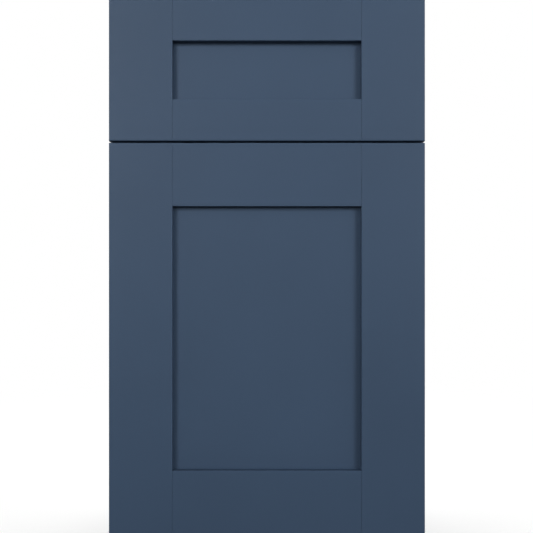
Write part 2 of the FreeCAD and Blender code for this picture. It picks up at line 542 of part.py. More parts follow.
def hinge_cup(label, height):
    """Pressed cup let into the door: flange, two screw ears, and two lugs for the pin.

    A notch in the rim lets the link swing past when the door is open.
    """
    body = new_body(label)
    middle = (CUP_X, height)
    back = f"-({FRONT_BACK})"
    shell = circles(body, "ShellCircle", "XZ_Plane", back, [middle], "2*Sizes.cup_radius")
    pad(body, shell, "Sizes.cup_depth - Sizes.cup_play", "Shell")
    ears = rectangle((f"{CUP_SCREW_X} - Sizes.ear_half_width", f"{CUP_SCREW_X} + Sizes.ear_half_width"),
                     (f"{height} - Sizes.ear_half_height", f"{height} + Sizes.ear_half_height"))
    flange = circles(body, "FlangeCircle", "XZ_Plane", f"{back} - Sizes.cup_steel", [middle],
                     "2*Sizes.cup_radius + 2*Sizes.flange_overlap")
    pad(body, flange, "Sizes.cup_steel", "Flange")
    pad(body, outline(body, "EarOutline", "XZ_Plane", f"{back} - Sizes.cup_steel", ears),
        "Sizes.cup_steel", "Ears")
    bowl = circles(body, "BowlCircle", "XZ_Plane", f"{back} - Sizes.cup_steel", [middle],
                   "2*Sizes.cup_radius - 2*Sizes.cup_steel")
    pocket(body, bowl, "Sizes.cup_depth", True, "Bowl")
    notch = rectangle((f"-{FRONT_EDGE}", f"{CUP_PIN[0]} - Sizes.pin_radius"),
                      (f"{FRONT_BACK} - Sizes.cup_notch", f"{FRONT_BACK} + 1"))
    room = "(Sizes.link_half_width + 3*Sizes.arm_play)"
    notch_sketch = outline(body, "NotchOutline", "XY_Plane", f"{height} - {room}", notch)
    pocket(body, notch_sketch, f"2*{room}", True, "RimNotch")
    for name, sign in (("Lower", -1), ("Upper", 1)):
        lug = rectangle((f"{CUP_PIN[0]} - Sizes.lug_half", f"{CUP_PIN[0]} + Sizes.lug_half"),
                        (f"{CUP_PIN[1]} - Sizes.lug_root", f"{CUP_PIN[1]} + Sizes.lug_tip"))
        start = f"{height} + {LINK_ROOM}" if sign > 0 else f"{height} - {LUG_END}"
        pad(body, outline(body, f"{name}Lug", "XY_Plane", start, lug), "Sizes.lug_steel", f"{name}Ear")
    drill(body, "PinHole", "XY_Plane", f"{height} - {LUG_END}", [CUP_PIN],
          "2*Sizes.pin_hole_radius", f"2*{LUG_END}", True)
    spots = [(CUP_SCREW_X, f"{height} + {sign}*Sizes.cup_screw_spread") for sign in (-1, 1)]
    drill(body, "ScrewHoles", "XZ_Plane", f"{back} - Sizes.cup_steel", spots,
          STEEL_HOLE, "Sizes.cup_steel", True)


def hinge_link(label, height):
    """Bent steel link between the arm's pin and the cup's pin, with a rolled eye at each end.

    It bends round the door's edge when the door is open, so it rises into the cup first.
    """
    arm_eye = Vector(value(ARM_PIN[0]), value(ARM_PIN[1]), 0)
    cup_eye = Vector(value(CUP_PIN[0]), value(CUP_PIN[1]), 0)
    rise = value("Sizes.link_rise")
    first_bend = cup_eye + Vector(value("Sizes.first_bend"), -rise, 0)
    second_bend = cup_eye + Vector(value("Sizes.second_bend"), -rise, 0)
    half = value("Sizes.link_steel") / 2
    width = 2 * value("Sizes.link_half_width")
    strip = Part.makePolygon([cup_eye, first_bend, second_bend, arm_eye])
    solid = Part.Face(strip.makeOffset2D(half, 0, False, False)).extrude(Vector(0, 0, width))
    for eye, radius in ((arm_eye, "Sizes.arm_eye_radius"), (cup_eye, "Sizes.cup_eye_radius")):
        solid = solid.fuse(Part.makeCylinder(value(radius), width, eye))
    for eye in (arm_eye, cup_eye):
        solid = solid.cut(Part.makeCylinder(value("Sizes.pin_hole_radius"), width, eye))
    link = doc.addObject("Part::Feature", label)
    link.Shape = solid.removeSplitter()
    link.Placement = Placement(Vector(0, 0, value(height) - width / 2), Rotation())
    keep(link, label)


for level, hinge_z in HINGE_HEIGHTS.items():
    mounting_plate(f"{level}_hinge_plate", hinge_z)
    hinge_arm(f"{level}_hinge_arm", hinge_z)
    hinge_link(f"{level}_hinge_link", hinge_z)
    hinge_cup(f"{level}_hinge_cup", hinge_z)

# The door's left stile is bored for the cups and their screws.
hinge_stile = PIECES["door_left_stile"]
drill(hinge_stile, "CupBores", "XZ_Plane", f"-({FRONT_BACK})",
      [(CUP_X, hinge_z) for hinge_z in HINGE_HEIGHTS.values()],
      "Sizes.cup_bore_diameter", "Sizes.cup_depth", True)
CUP_SCREW_PLACES = [(CUP_SCREW_X, f"{hinge_z} + {sign}*Sizes.cup_screw_spread")
                    for hinge_z in HINGE_HEIGHTS.values() for sign in (-1, 1)]
drill(hinge_stile, "CupScrewHoles", "XZ_Plane", f"-({FRONT_BACK})", CUP_SCREW_PLACES,
      "Sizes.pilot_diameter", "Sizes.screw_reach", True)

group("cup_screws", [
    fuse([cylinder("Sizes.screw_radius", "Sizes.screw_reach",
                   (spot_x, f"{FRONT_BACK} + Sizes.cup_steel", spot_z), Vector(0, -1, 0)),
          cylinder("Sizes.screw_head_radius", "Sizes.flat_head",
                   (spot_x, f"{FRONT_BACK} + Sizes.cup_steel", spot_z), Vector(0, 1, 0))])
    for spot_x, spot_z in CUP_SCREW_PLACES])
group("hinge_plate_screws", [
    screw((f"{WALL_X} + Sizes.hinge_plate - Sizes.wing_drop", spot_y, spot_z), Vector(-1, 0, 0))
    for spot_y, spot_z in HINGE_SCREW_PLACES])
group("hinge_arm_screws", [
    fuse([cylinder("Sizes.screw_radius", f"{ARM_TOP_X} - ({WALL_X})",
                   (ARM_TOP_X, ARM_SCREW_Y, hinge_z), Vector(-1, 0, 0)),
          cylinder("Sizes.screw_head_radius", "Sizes.screw_head",
                   (ARM_TOP_X, ARM_SCREW_Y, hinge_z), Vector(1, 0, 0))])
    for hinge_z in HINGE_HEIGHTS.values()])
group("arm_pins", [
    cylinder("Sizes.pin_radius", f"2*{ARM_HALF}", (*ARM_PIN, f"{hinge_z} - {ARM_HALF}"),
             Vector(0, 0, 1))
    for hinge_z in HINGE_HEIGHTS.values()])
group("cup_pins", [
    cylinder("Sizes.pin_radius", f"2*{LUG_END}", (*CUP_PIN, f"{hinge_z} - {LUG_END}"),
             Vector(0, 0, 1))
    for hinge_z in HINGE_HEIGHTS.values()])

# --- drawer box -----------------------------------------------------------------------------------

INNER_SIDE = f"({BOX_SIDE} - Sizes.drawer_board)"
INNER_FRONT = f"({FRONT_BACK} + Sizes.drawer_board)"
INNER_END = f"({BOX_END} - Sizes.drawer_board)"
BOTTOM_LOW = f"({BOX_LOW} + Sizes.drawer_bottom_lift)"
BOTTOM_TOP = f"({BOTTOM_LOW} + Sizes.panel_board)"
INNER_SLIDE_ROWS = [f"({FRONT_BACK} + Sizes.inner_slide_screw_inset + {step}*Sizes.slide_screw_pitch)"
                    for step in range(3)]
FRONT_SCREW_PLACES = [(f"{side}*({FRONT_EDGE} - Sizes.front_screw_inset)", f"{BOX_LOW} + {rise}")
                      for side in SIDES.values()
                      for rise in ("Sizes.front_screw_low", "Sizes.front_screw_high")]
GROOVE_ROOM = "(Sizes.drawer_groove - Sizes.screw_play)"
INNER_SCREW_REACH = "Sizes.drawer_board - 2*Sizes.screw_play"

for side_name, side_sign in SIDES.items():
    edges = sorted((f"{side_sign}*{INNER_SIDE}", f"{side_sign}*{BOX_SIDE}"), key=value)
    drawer_side = board(f"drawer_{side_name}_side", edges, (FRONT_BACK, BOX_END), (BOX_LOW, BOX_TOP))
    groove = rectangle((FRONT_BACK, BOX_END), (BOTTOM_LOW, BOTTOM_TOP))
    groove_sketch = outline(drawer_side, "GrooveOutline", "YZ_Plane",
                            f"{side_sign}*{INNER_SIDE}", groove)
    pocket(drawer_side, groove_sketch, "Sizes.drawer_groove", side_sign > 0, "BottomGroove")
    drill(drawer_side, "SlidePilots", "YZ_Plane", f"{side_sign}*{BOX_SIDE}",
          [(row_y, SLIDE_Z) for row_y in INNER_SLIDE_ROWS],
          "Sizes.pilot_diameter", INNER_SCREW_REACH, side_sign < 0)

for board_label, low_y, high_y, inner_y, forwards in (
        ("drawer_box_front", FRONT_BACK, INNER_FRONT, INNER_FRONT, True),
        ("drawer_box_back", INNER_END, BOX_END, INNER_END, False)):
    piece = board(board_label, (f"-{INNER_SIDE}", INNER_SIDE), (low_y, high_y), (BOX_LOW, BOX_TOP))
    groove = rectangle((f"-{INNER_SIDE}", INNER_SIDE), (BOTTOM_LOW, BOTTOM_TOP))
    groove_sketch = outline(piece, "GrooveOutline", "XZ_Plane", f"-({inner_y})", groove)
    pocket(piece, groove_sketch, "Sizes.drawer_groove", forwards, "BottomGroove")
board("drawer_bottom", (f"-({INNER_SIDE} + {GROOVE_ROOM})", f"({INNER_SIDE} + {GROOVE_ROOM})"),
      (f"({INNER_FRONT} - {GROOVE_ROOM})", f"({INNER_END} + {GROOVE_ROOM})"),
      (BOTTOM_LOW, BOTTOM_TOP))

# The front is held by four screws from inside the box, into the backs of its stiles.
drill(PIECES["drawer_box_front"], "FrontScrewHoles", "XZ_Plane", f"-({INNER_FRONT})",
      FRONT_SCREW_PLACES, STEEL_HOLE, "Sizes.drawer_board", True)
for side_name, side_sign in SIDES.items():
    spots = [spot for spot in FRONT_SCREW_PLACES if value(spot[0]) * side_sign > 0]
    drill(PIECES[f"drawer_front_{side_name}_stile"], "FrontScrewPilots", "XZ_Plane",
          f"-({FRONT_BACK})", spots, "Sizes.pilot_diameter", "Sizes.screw_reach", True)
group("drawer_front_screws", [
    fuse([cylinder("Sizes.screw_radius", "Sizes.drawer_board + Sizes.screw_reach - Sizes.screw_play",
                   (spot_x, INNER_FRONT, spot_z), Vector(0, -1, 0)),
          cylinder("Sizes.screw_head_radius", "Sizes.screw_head",
                   (spot_x, INNER_FRONT, spot_z), Vector(0, 1, 0))])
    for spot_x, spot_z in FRONT_SCREW_PLACES])

# --- drawer slides --------------------------------------------------------------------------------

SLIDE_START = f"({BOX_FRONT} + Sizes.slide_setback)"
SLIDE_END = f"({SLIDE_START} + Sizes.slide_length)"
BALL_ROOM = "(2*Sizes.ball_radius + 2*Sizes.ball_play)"
INNER_HALF = "Sizes.slide_inner_half"
MIDDLE_HALF = f"({INNER_HALF} + {BALL_ROOM} + Sizes.slide_steel)"
OUTER_HALF = f"({MIDDLE_HALF} + {BALL_ROOM} + Sizes.slide_steel)"
OUTER_BALL_RISE = f"({MIDDLE_HALF} + {BALL_ROOM}/2)"
INNER_BALL_RISE = f"({INNER_HALF} + {BALL_ROOM}/2)"
# Each member: how far in from the panel its web starts, its web's other face and its lips end.
MEMBERS = {
    "outer_member": ("0", "Sizes.slide_steel", "Sizes.outer_lip", OUTER_HALF),
    "middle_member": ("Sizes.middle_web", "Sizes.middle_web + Sizes.slide_steel",
                      "Sizes.middle_lip", MIDDLE_HALF),
    "inner_member": ("Sizes.slide_thickness", "Sizes.slide_thickness - Sizes.slide_steel",
                     "Sizes.inner_lip", INNER_HALF),
}


def channel(label, side, web, lining, lip, half):
    """Pressed steel channel: a web with a lip along its top and its bottom."""
    steel = "Sizes.slide_steel"
    steps = [(web, f"-{half}"), (lip, f"-{half}"), (lip, f"-{half} + {steel}"),
             (lining, f"-{half} + {steel}"), (lining, f"{half} - {steel}"),
             (lip, f"{half} - {steel}"), (lip, half), (web, half)]
    points = [(f"{side}*({INSIDE} - ({inwards}))", f"{SLIDE_Z} + {rise}") for inwards, rise in steps]
    return prism(label, "XZ_Plane", points, f"-({SLIDE_END})", "Sizes.slide_length")


for side_name, side_sign in SIDES.items():
    for member, (web, lining, lip, half) in MEMBERS.items():
        piece = channel(f"{side_name}_slide_{member}", side_sign, web, lining, lip, half)
        rows = {"outer_member": SLIDE_SCREW_ROWS, "inner_member": INNER_SLIDE_ROWS}.get(member)
        if rows:
            drill(piece, "ScrewHoles", "YZ_Plane", f"{side_sign}*({INSIDE} - ({lining}))",
                  [(row_y, SLIDE_Z) for row_y in rows], STEEL_HOLE,
                  "Sizes.slide_steel", (member == "outer_member") == (side_sign > 0))

group("outer_slide_screws", [
    screw((f"{side}*({INSIDE} - Sizes.slide_steel)", row_y, SLIDE_Z), Vector(side, 0, 0))
    for side in SIDES.values() for row_y in SLIDE_SCREW_ROWS])
group("inner_slide_screws", [
    fuse([cylinder("Sizes.screw_radius", INNER_SCREW_REACH,
                   (f"{side}*({BOX_SIDE} + Sizes.slide_steel)", row_y, SLIDE_Z), Vector(-side, 0, 0)),
          cylinder("Sizes.screw_head_radius", "Sizes.screw_head",
                   (f"{side}*({BOX_SIDE} + Sizes.slide_steel)", row_y, SLIDE_Z), Vector(side, 0, 0))])
    for side in SIDES.values() for row_y in INNER_SLIDE_ROWS])

BALLS_PER_ROW = 8
CAGE_LENGTH = f"{BALLS_PER_ROW}*Sizes.ball_pitch + 2*Sizes.cage_end"
RUNS = {"outer": ("Sizes.outer_ball_in", OUTER_BALL_RISE),
        "inner": ("Sizes.inner_ball_in", INNER_BALL_RISE)}


def ball_cage(inwards, rise, side, level):
    """Thin strip with a row of holes that keeps the balls apart."""
    strip = doc.addObject("Part::Box", "CageStrip")
    strip.setExpression("Length", "Sizes.cage_width")
    strip.setExpression("Width", CAGE_LENGTH)
    strip.setExpression("Height", "Sizes.cage_steel")
    middle_x = f"{side}*({INSIDE} - {inwards})"
    middle_z = f"{SLIDE_Z} + {level}*{rise}"
    start_y = f"{SLIDE_START} + Sizes.cage_start"
    place(strip, (f"{middle_x} - Sizes.cage_width/2", start_y, f"{middle_z} - Sizes.cage_steel/2"))
    holes = []
    balls = []
    for index in range(BALLS_PER_ROW):
        ball_y = f"{start_y} + Sizes.cage_end + {index + 0.5}*Sizes.ball_pitch"
        holes.append(cylinder("Sizes.ball_radius + Sizes.cage_play", "2*Sizes.ball_radius",
                              (middle_x, ball_y, f"{middle_z} - Sizes.ball_radius"), Vector(0, 0, 1)))
        ball = doc.addObject("Part::Sphere", "Ball")
        ball.setExpression("Radius", "Sizes.ball_radius")
        place(ball, (middle_x, ball_y, middle_z))
        balls.append(ball)
    punches = doc.addObject("Part::Compound", "Punches")
    punches.Links = holes
    cage = doc.addObject("Part::Cut", "Cage")
    cage.Base = strip
    cage.Tool = punches
    return cage, balls


for run, (inwards, rise) in RUNS.items():
    cages = []
    balls = []
    for side in SIDES.values():
        for level in (-1, 1):
            cage, row_of_balls = ball_cage(inwards, rise, side, level)
            cages.append(cage)
            balls += row_of_balls
    group(f"{run}_ball_cages", cages)
    group(f"{run}_slide_balls", balls)

# --- check and write ------------------------------------------------------------------------------

doc.recompute()
for item in doc.Objects:
    if "Invalid" in item.State or "Error" in item.State:
        raise RuntimeError(f"{item.Label} failed: {item.State}")
os.makedirs("parts", exist_ok=True)
for label, piece in PIECES.items():
    shape = piece.Shape
    if shape.isNull() or not shape.isValid() or not shape.Solids:
        raise RuntimeError(f"{label} has no valid solid")
    shape.exportStep(f"parts/{label}.step")
    box = shape.BoundBox
    print(f"{label:28s} solids {len(shape.Solids):3d} volume {shape.Volume:11.1f} mm3  "
          f"x {box.XMin:8.2f} {box.XMax:8.2f}  y {box.YMin:8.2f} {box.YMax:8.2f}  "
          f"z {box.ZMin:8.2f} {box.ZMax:8.2f}")
print(f"{len(PIECES)} sub-parts, {math.fsum(p.Shape.Volume for p in PIECES.values()) / 1e6:.2f} litres")
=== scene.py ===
import bpy
import numpy as np
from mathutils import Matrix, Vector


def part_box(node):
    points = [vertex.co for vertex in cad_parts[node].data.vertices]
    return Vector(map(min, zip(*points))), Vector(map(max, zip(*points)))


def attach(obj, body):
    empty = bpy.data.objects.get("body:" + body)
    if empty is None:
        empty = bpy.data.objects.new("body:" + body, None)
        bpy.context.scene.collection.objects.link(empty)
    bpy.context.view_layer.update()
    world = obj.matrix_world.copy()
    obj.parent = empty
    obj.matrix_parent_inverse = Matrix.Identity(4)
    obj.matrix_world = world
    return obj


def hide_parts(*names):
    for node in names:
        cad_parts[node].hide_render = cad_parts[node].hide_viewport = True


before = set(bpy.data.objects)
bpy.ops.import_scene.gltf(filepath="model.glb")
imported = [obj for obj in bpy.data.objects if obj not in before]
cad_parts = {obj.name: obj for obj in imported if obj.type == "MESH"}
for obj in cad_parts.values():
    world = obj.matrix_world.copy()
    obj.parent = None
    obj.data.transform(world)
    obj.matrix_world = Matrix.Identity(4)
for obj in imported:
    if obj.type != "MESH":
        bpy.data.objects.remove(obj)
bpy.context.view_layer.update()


# --- Studio -------------------------------------------------------------------------------------
# A square-on camera at the height of the middle of the fronts, close enough to look a little up
# under the upper rails. Two softboxes stand ahead of the cabinet and above it, to each side, and
# a third lights the floor behind it.

door_low, door_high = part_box("door_left_stile")
drawer_low, drawer_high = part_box("drawer_front_left_stile")
face_y = door_low.y
fronts_height = drawer_high.z - door_low.z
fronts_middle = (drawer_high.z + door_low.z) / 2

camera_stand_off = 1.0
camera_aside = -0.0005
trimmed_off = 0.0015  # the fronts run this far out of the view, above and below
camera = bpy.data.objects.new("camera", bpy.data.cameras.new("camera"))
camera.data.sensor_width = 36.0
camera.data.lens = (camera.data.sensor_width * camera_stand_off
                    / (fronts_height - 2 * trimmed_off))
camera.location = (camera_aside, face_y - camera_stand_off, fronts_middle)
camera.rotation_euler = (np.pi / 2, 0.0, 0.0)
bpy.context.scene.collection.objects.link(camera)
bpy.context.scene.camera = camera
bpy.context.scene.view_settings.view_transform = "Standard"
bpy.context.scene.view_settings.look = "None"
bpy.context.scene.view_settings.gamma = 0.88


def softbox(name, place, aim, width, height, watts, beam):
    """A rectangular diffuser with a grid that narrows its beam, in degrees, turned to its aim."""
    lamp = bpy.data.lights.new(name, "AREA")
    lamp.shape = "RECTANGLE"
    lamp.size = width
    lamp.size_y = height
    lamp.energy = watts
    lamp.spread = np.radians(beam)
    stand = bpy.data.objects.new(name, lamp)
    stand.location = place
    towards = Vector(aim) - Vector(place)
    stand.rotation_euler = towards.to_track_quat("-Z", "Y").to_euler()
    bpy.context.scene.collection.objects.link(stand)


lit_most = (0.0, face_y, fronts_middle + 0.21)
softbox_y = face_y - 2.6
softbox_z = fronts_middle + 1.05
softbox("right_softbox", (2.1, softbox_y, softbox_z), lit_most,
        width=1.5, height=1.5, watts=5.75, beam=45.0)
softbox("left_softbox", (-1.5, softbox_y, softbox_z), lit_most,
        width=1.2, height=1.5, watts=4.4, beam=45.0)
softbox("floor_softbox", (0.0, 1.5, 2.3), (0.0, 1.3, 0.0),
        width=3.2, height=2.2, watts=95.0, beam=180.0)


def link_node(tree, kind, sockets=None, **settings):
    """Adds a node. Each socket is given a number, a colour, a vector or another node's output."""
    made = tree.nodes.new("ShaderNode" + kind)
    for setting, value in settings.items():
        setattr(made, setting, value)
    for socket, value in (sockets or {}).items():
        if isinstance(value, bpy.types.NodeSocket):
            tree.links.new(value, made.inputs[socket])
        else:
            made.inputs[socket].default_value = value
    return made


# The room round the studio: white where it is seen, fairly bright in reflections, and dim as a
# light, which is lower still from below.
room = bpy.data.worlds.new("white_room")
room.use_nodes = True
room_tree = room.node_tree
direction = link_node(room_tree, "TexCoord").outputs["Generated"]
height_of = link_node(room_tree, "SeparateXYZ", {0: direction}).outputs["Z"]
rays = link_node(room_tree, "LightPath").outputs


def room_light(below, above):
    """White light from the room's walls, in a soft step from its lower to its upper half."""
    strength = link_node(room_tree, "MapRange", {"Value": height_of, "From Min": -0.25,
                                                 "From Max": 0.35, "To Min": below,
                                                 "To Max": above})
    return link_node(room_tree, "Background", {"Color": (1, 1, 1, 1),
                                               "Strength": strength.outputs["Result"]}).outputs[0]


lit_by = link_node(room_tree, "MixShader", {0: rays["Is Glossy Ray"], 1: room_light(0.12, 0.30),
                                            2: room_light(0.45, 0.75)})
seen_as = link_node(room_tree, "MixShader", {0: rays["Is Camera Ray"], 1: lit_by.outputs[0],
                                             2: room_light(1.0, 1.0)})
room_tree.links.new(seen_as.outputs[0], room_tree.nodes["World Output"].inputs["Surface"])
bpy.context.scene.world = room


# --- Floor --------------------------------------------------------------------------------------
# A plain pale studio floor, matt, with the faint mottling of painted board. It is a round sheet
# lit a little from within, more so towards its rim, where it runs into the white room.

def put_mesh(name, points, faces, finish):
    """Makes an object at the origin from arrays of points and of faces, with smooth shading."""
    mesh = bpy.data.meshes.new(name)
    mesh.from_pydata(points.reshape(-1, 3).tolist(), [], faces)
    mesh.materials.append(finish)
    mesh.shade_smooth()
    made = bpy.data.objects.new(name, mesh)
    bpy.context.scene.collection.objects.link(made)
    return made


def new_finish(name):
    """A finish with one shader, and the place on the piece, in metres, that its pattern reads."""
    finish = bpy.data.materials.new(name)
    finish.use_nodes = True
    tree = finish.node_tree
    place = link_node(tree, "TexCoord").outputs["Object"]
    return finish, tree, tree.nodes["Principled BSDF"], place


def clouds(tree, place, size, stretch=(1, 1, 1), shift=(0, 0, 0), detail=3.0, distortion=0.0):
    """Smooth noise from 0 to 1 in patches about `size` metres wide, longer by `stretch`."""
    turned = link_node(tree, "Mapping", {"Vector": place, "Location": shift,
                                         "Scale": tuple(1 / long for long in stretch)})
    return link_node(tree, "TexNoise", {"Vector": turned.outputs["Vector"], "Scale": 1 / size,
                                        "Detail": detail, "Distortion": distortion}).outputs["Fac"]


def ranged(tree, value, low, high, start=0.3, end=0.7):
    """A value that runs from start to end, spread over low to high instead."""
    return link_node(tree, "MapRange", {"Value": value, "From Min": start, "From Max": end,
                                        "To Min": low, "To Max": high}).outputs["Result"]


def two_tone(tree, share, first, second):
    """Mixes two colours, or two other mixes, by a share from 0 to 1."""
    return link_node(tree, "Mix", {0: share, 6: first, 7: second},
                     data_type="RGBA").outputs[2]


# Each point of the disc lies at reach * cos(turn), reach * sin(turn), and a centre closes it.
floor_radius = 1.9
floor_steps, floor_spokes = 12, 96
reach = np.linspace(0.0, floor_radius, floor_steps + 1)[1:, None]
turn = np.linspace(0.0, 2 * np.pi, floor_spokes, endpoint=False)[None, :]
ring_points = np.stack([reach * np.cos(turn), reach * np.sin(turn), 0 * reach * turn], axis=-1)
floor_points = np.concatenate([np.zeros((1, 3)), ring_points.reshape(-1, 3)])
spoke = np.arange(floor_spokes)
next_spoke = (spoke + 1) % floor_spokes
floor_faces = np.stack([0 * spoke, 1 + spoke, 1 + next_spoke], axis=-1).tolist()
ring = (np.arange(floor_steps - 1) * floor_spokes + 1)[:, None]
floor_faces += np.stack([ring + spoke, ring + floor_spokes + spoke,
                         ring + floor_spokes + next_spoke, ring + next_spoke],
                        axis=-1).reshape(-1, 4).tolist()
floor_finish, tree, shader, place = new_finish("pale_floor")
floor_tone = two_tone(tree, clouds(tree, place, 0.25), (0.78, 0.78, 0.77, 1), (0.82, 0.82, 0.81, 1))
tree.links.new(floor_tone, shader.inputs["Base Color"])
shader.inputs["Roughness"].default_value = 0.7
glow_starts = 0.3
glow_at_middle = 0.62
glow = link_node(tree, "Emission", {"Color": (1, 1, 1, 1), "Strength": 1.0})
from_middle = link_node(tree, "VectorMath", {0: place}, operation="LENGTH").outputs["Value"]
lit_from_within = link_node(tree, "MapRange", {"Value": from_middle, "From Min": glow_starts,
                                               "From Max": 0.95 * floor_radius,
                                               "To Min": glow_at_middle, "To Max": 1.0},
                            interpolation_type="SMOOTHSTEP").outputs["Result"]
sweep = link_node(tree, "MixShader", {0: lit_from_within, 1: shader.outputs[0],
                                      2: glow.outputs[0]})
tree.links.new(sweep.outputs[0], tree.nodes["Material Output"].inputs["Surface"])
floor = put_mesh("floor", floor_points, floor_faces, floor_finish)
floor.visible_diffuse = False
floor.visible_glossy = False


# --- Door and drawer front ----------------------------------------------------------------------
# Two framed fronts of hardwood, each with stiles, rails and a flat panel let into a groove. They
# are sprayed with satin lacquer after gluing, so only a hairline shows where a rail meets a stile.

def sprayed_lacquer(name, colour, grain_stretch):
    """Satin lacquer over wood: a nearly even colour, orange peel, and a trace of the grain."""
    finish, tree, shader, place = new_finish(name)
    lighter = tuple(1.035 * c for c in colour) + (1,)
    darker = tuple(0.965 * c for c in colour) + (1,)
    drift = ranged(tree, clouds(tree, place, 0.16, detail=2.0), 0.0, 1.0)
    tone = two_tone(tree, drift, darker, lighter)
    bent = link_node(tree, "Bevel", {"Radius": 0.0009}, samples=4).outputs["Normal"]
    straight = link_node(tree, "NewGeometry").outputs["Normal"]
    facing = link_node(tree, "VectorMath", {0: bent, 1: straight}, operation="DOT_PRODUCT")
    arris = ranged(tree, facing.outputs["Value"], 0.55, 0.0, 0.80, 0.995)
    rubbed = tuple(1.16 * c for c in colour) + (1,)
    tree.links.new(two_tone(tree, arris, tone, rubbed), shader.inputs["Base Color"])
    mottle = clouds(tree, place, 0.012, detail=3.0)
    tree.links.new(ranged(tree, mottle, 0.44, 0.51), shader.inputs["Roughness"])
    shader.inputs["Specular IOR Level"].default_value = 0.28
    peel = link_node(tree, "Bump", {"Strength": 0.35, "Distance": 0.00004,
                                    "Height": clouds(tree, place, 0.0016, detail=1.0)})
    grain = clouds(tree, place, 0.0012, stretch=grain_stretch, detail=2.0)
    trace = link_node(tree, "Bump", {"Strength": 0.12, "Distance": 0.00003, "Height": grain,
                                     "Normal": peel.outputs["Normal"]})
    tree.links.new(trace.outputs["Normal"], shader.inputs["Normal"])
    return finish


def coat(finish, *nodes):
    """Puts a finish in every material slot of these CAD pieces."""
    for node in nodes:
        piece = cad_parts[node]
        if not piece.material_slots:
            piece.data.materials.append(finish)
        for pot in piece.material_slots:
            pot.material = finish


slate_blue = (0.0530, 0.0875, 0.1435)
upright_lacquer = sprayed_lacquer("slate_lacquer_upright", slate_blue, (1, 1, 40))
level_lacquer = sprayed_lacquer("slate_lacquer_level", slate_blue, (40, 1, 1))
coat(upright_lacquer, "door_left_stile", "door_right_stile", "door_panel",
     "drawer_front_left_stile", "drawer_front_right_stile")
coat(level_lacquer, "door_top_rail", "door_bottom_rail", "drawer_front_top_rail",
     "drawer_front_bottom_rail", "drawer_front_panel")


# --- Painted boards of the carcass --------------------------------------------------------------
# Sides, toe-kick board, front stretcher and the rail between drawer and door: 18 mm board in the
# same lacquer as the fronts, with its grain upright.

board_lacquer = sprayed_lacquer("slate_lacquer_board", slate_blue, (1, 1, 60))
coat(board_lacquer, "left_side_panel", "right_side_panel", "mid_rail", "toe_kick_board",
     "top_front_stretcher")


# --- Birch plywood boards ------------------------------------------------------------------------
# Bottom, rear stretcher, hanging rails, back, shelf and drawer box: birch plywood with thin outer
# veneers, sawn edges that show the plies, and a coat of clear lacquer.

def lie_of(node):
    """The axes of a board's thickness and length, then its lowest corner and its three sides."""
    low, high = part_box(node)
    sides = [high[axis] - low[axis] for axis in range(3)]
    return sides.index(min(sides)), sides.index(max(sides)), low, sides


def birch_plywood(node, ply_thickness=0.0014):
    """Birch face veneer along the board, and plies that lie along and across it in turn."""
    across, along, low, sides = lie_of(node)
    finish, tree, shader, place = new_finish("birch_" + node)
    stretch = tuple(14.0 if axis == along else 1.0 for axis in range(3))
    own_shift = sum(ord(letter) for letter in node) % 17 * 0.31

    figure = clouds(tree, place, 0.030, stretch, (own_shift, own_shift, own_shift),
                    2.0, 1.2)
    cream = two_tone(tree, ranged(tree, figure, 0.0, 1.0, 0.36, 0.64),
                     (0.60, 0.43, 0.25, 1), (0.74, 0.58, 0.38, 1))
    fleck = clouds(tree, place, 0.0011, tuple(1 + 1.6 * (long - 1) for long in stretch),
                   (own_shift, 0, own_shift), 2.0)
    dark_fleck = ranged(tree, fleck, 0.0, 0.55, 0.60, 0.76)
    veneer = two_tone(tree, dark_fleck, cream, (0.40, 0.25, 0.13, 1))

    plies = max(3, 2 * round((sides[across] / ply_thickness - 1) / 2) + 1)
    depth = link_node(tree, "SeparateXYZ", {0: place}).outputs[across]
    ply = link_node(tree, "MapRange", {"Value": depth, "From Min": low[across],
                                       "From Max": low[across] + sides[across],
                                       "To Min": 0.0, "To Max": float(plies)}).outputs["Result"]
    in_ply = link_node(tree, "Math", {0: ply, 1: 1.0}, operation="MODULO").outputs[0]
    pair = link_node(tree, "Math", {0: ply, 1: 2.0}, operation="MODULO").outputs[0]
    crosswise = link_node(tree, "Math", {0: pair, 1: 1.0}, operation="GREATER_THAN").outputs[0]
    clear_of_glue = link_node(tree, "Math", {0: in_ply, 1: 0.5, 2: 0.42}, operation="COMPARE")
    sawn = clouds(tree, place, 0.0015, (1, 1, 1), (own_shift, 0, 0), 3.0)
    long_ply = two_tone(tree, sawn, (0.55, 0.38, 0.21, 1), (0.66, 0.48, 0.29, 1))
    end_ply = two_tone(tree, sawn, (0.30, 0.18, 0.09, 1), (0.42, 0.26, 0.14, 1))
    glued = two_tone(tree, clear_of_glue.outputs[0], (0.16, 0.09, 0.05, 1),
                     two_tone(tree, crosswise, long_ply, end_ply))

    normal = link_node(tree, "TexCoord").outputs["Normal"]
    tilt = link_node(tree, "SeparateXYZ", {0: normal}).outputs[across]
    flat_face = link_node(tree, "Math", {0: link_node(tree, "Math", {0: tilt},
                                                      operation="ABSOLUTE").outputs[0],
                                         1: 0.7}, operation="GREATER_THAN").outputs[0]
    tree.links.new(two_tone(tree, flat_face, glued, veneer), shader.inputs["Base Color"])
    tree.links.new(ranged(tree, figure, 0.36, 0.50), shader.inputs["Roughness"])
    grain = link_node(tree, "Bump", {"Strength": 0.25, "Distance": 0.00008, "Height": fleck})
    tree.links.new(grain.outputs["Normal"], shader.inputs["Normal"])
    return finish


for board in ("bottom_panel", "top_rear_stretcher", "upper_hanging_rail", "lower_hanging_rail",
              "back_panel", "adjustable_shelf", "drawer_left_side", "drawer_right_side",
              "drawer_box_front", "drawer_box_back", "drawer_bottom"):
    coat(birch_plywood(board), board)


